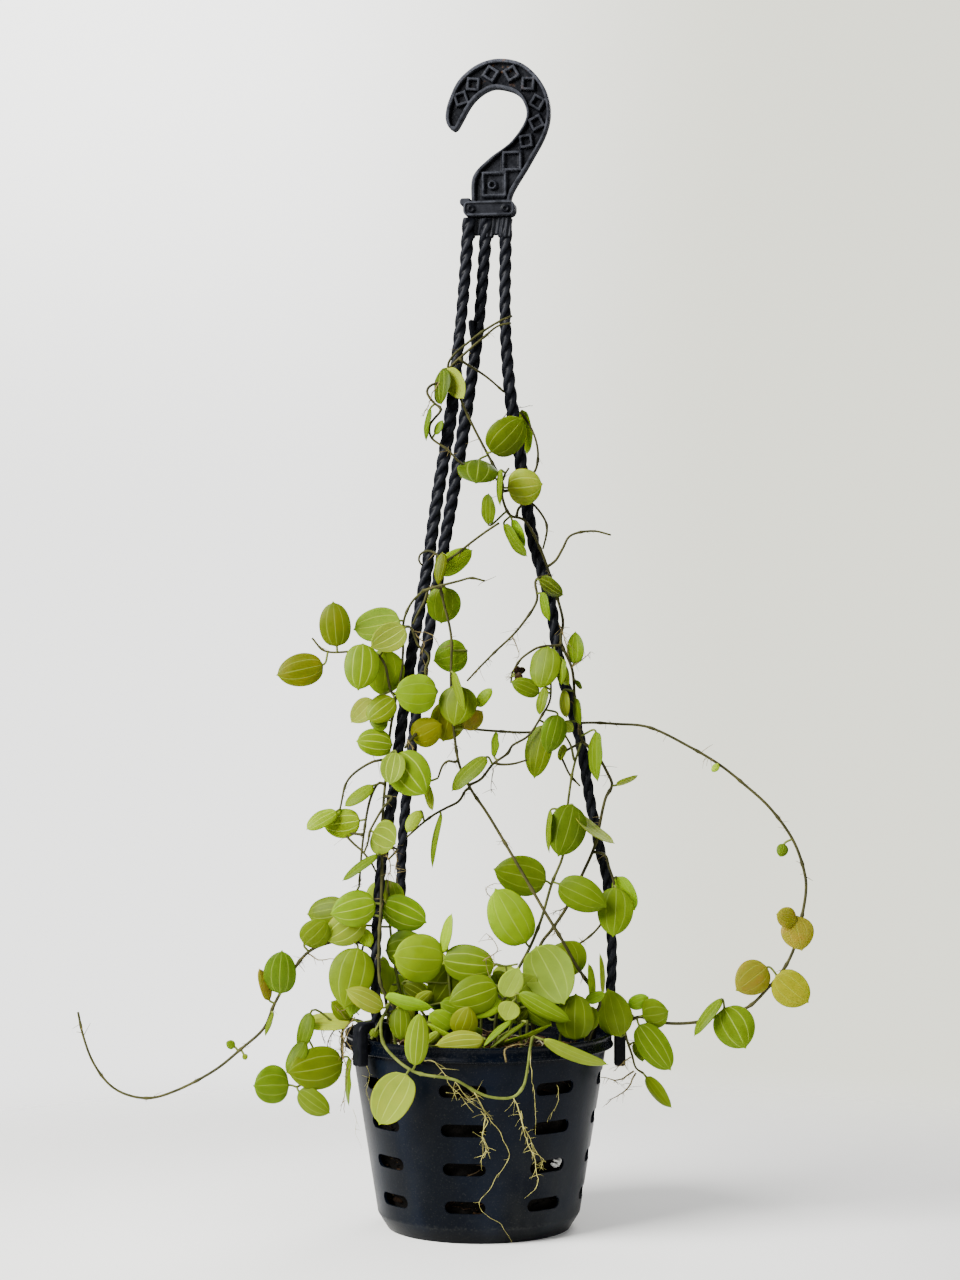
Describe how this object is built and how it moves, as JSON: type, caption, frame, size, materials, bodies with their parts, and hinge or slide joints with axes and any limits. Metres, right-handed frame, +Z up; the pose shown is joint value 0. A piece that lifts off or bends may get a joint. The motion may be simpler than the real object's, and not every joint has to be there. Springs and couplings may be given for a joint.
{
  "type": "potted watermelon dischidia",
  "caption": "Trailing plant with opposite round striped leaves on thin stems that climb the strands of a slotted hanging pot with a moulded hook.",
  "frame": {"origin": "middle of the pot's base, on the surface it can stand on", "axes": "+Z up towards the hook, -Y towards the front, +X to the right seen from the front"},
  "size_m": [0.3608, 0.1394, 0.5825],
  "materials": {
    "pot_plastic": "black moulded plastic, semi-matt with dust",
    "hanger_plastic": "black moulded plastic, satin, worn grey on the edges",
    "mix": "rough husk and fibre",
    "foliage": "satin fleshy leaf with pale veins"
  },
  "bodies": {
    "root": {"pot": "pot_plastic", "potting_mix": "mix", "hook": "hanger_plastic", "strand_header": "hanger_plastic", "strand_left": "hanger_plastic", "strand_back": "hanger_plastic", "strand_right": "hanger_plastic", "climbing_stem_right": "foliage", "diagonal_stem": "foliage", "upright_stem": "foliage", "looping_stem": "foliage", "climbing_stem_left": "foliage", "trailing_stem": "foliage", "left_rim_stem": "foliage", "front_swag": "foliage", "crown_stem_left": "foliage", "crown_stem_front_left": "foliage", "crown_stem_middle": "foliage", "crown_stem_centre": "foliage", "crown_stem_right": "foliage", "crown_stem_far_right": "foliage", "crown_stem_back_left": "foliage", "crown_stem_back": "foliage", "crown_stem_back_right": "foliage"}
  },
  "joints": []
}
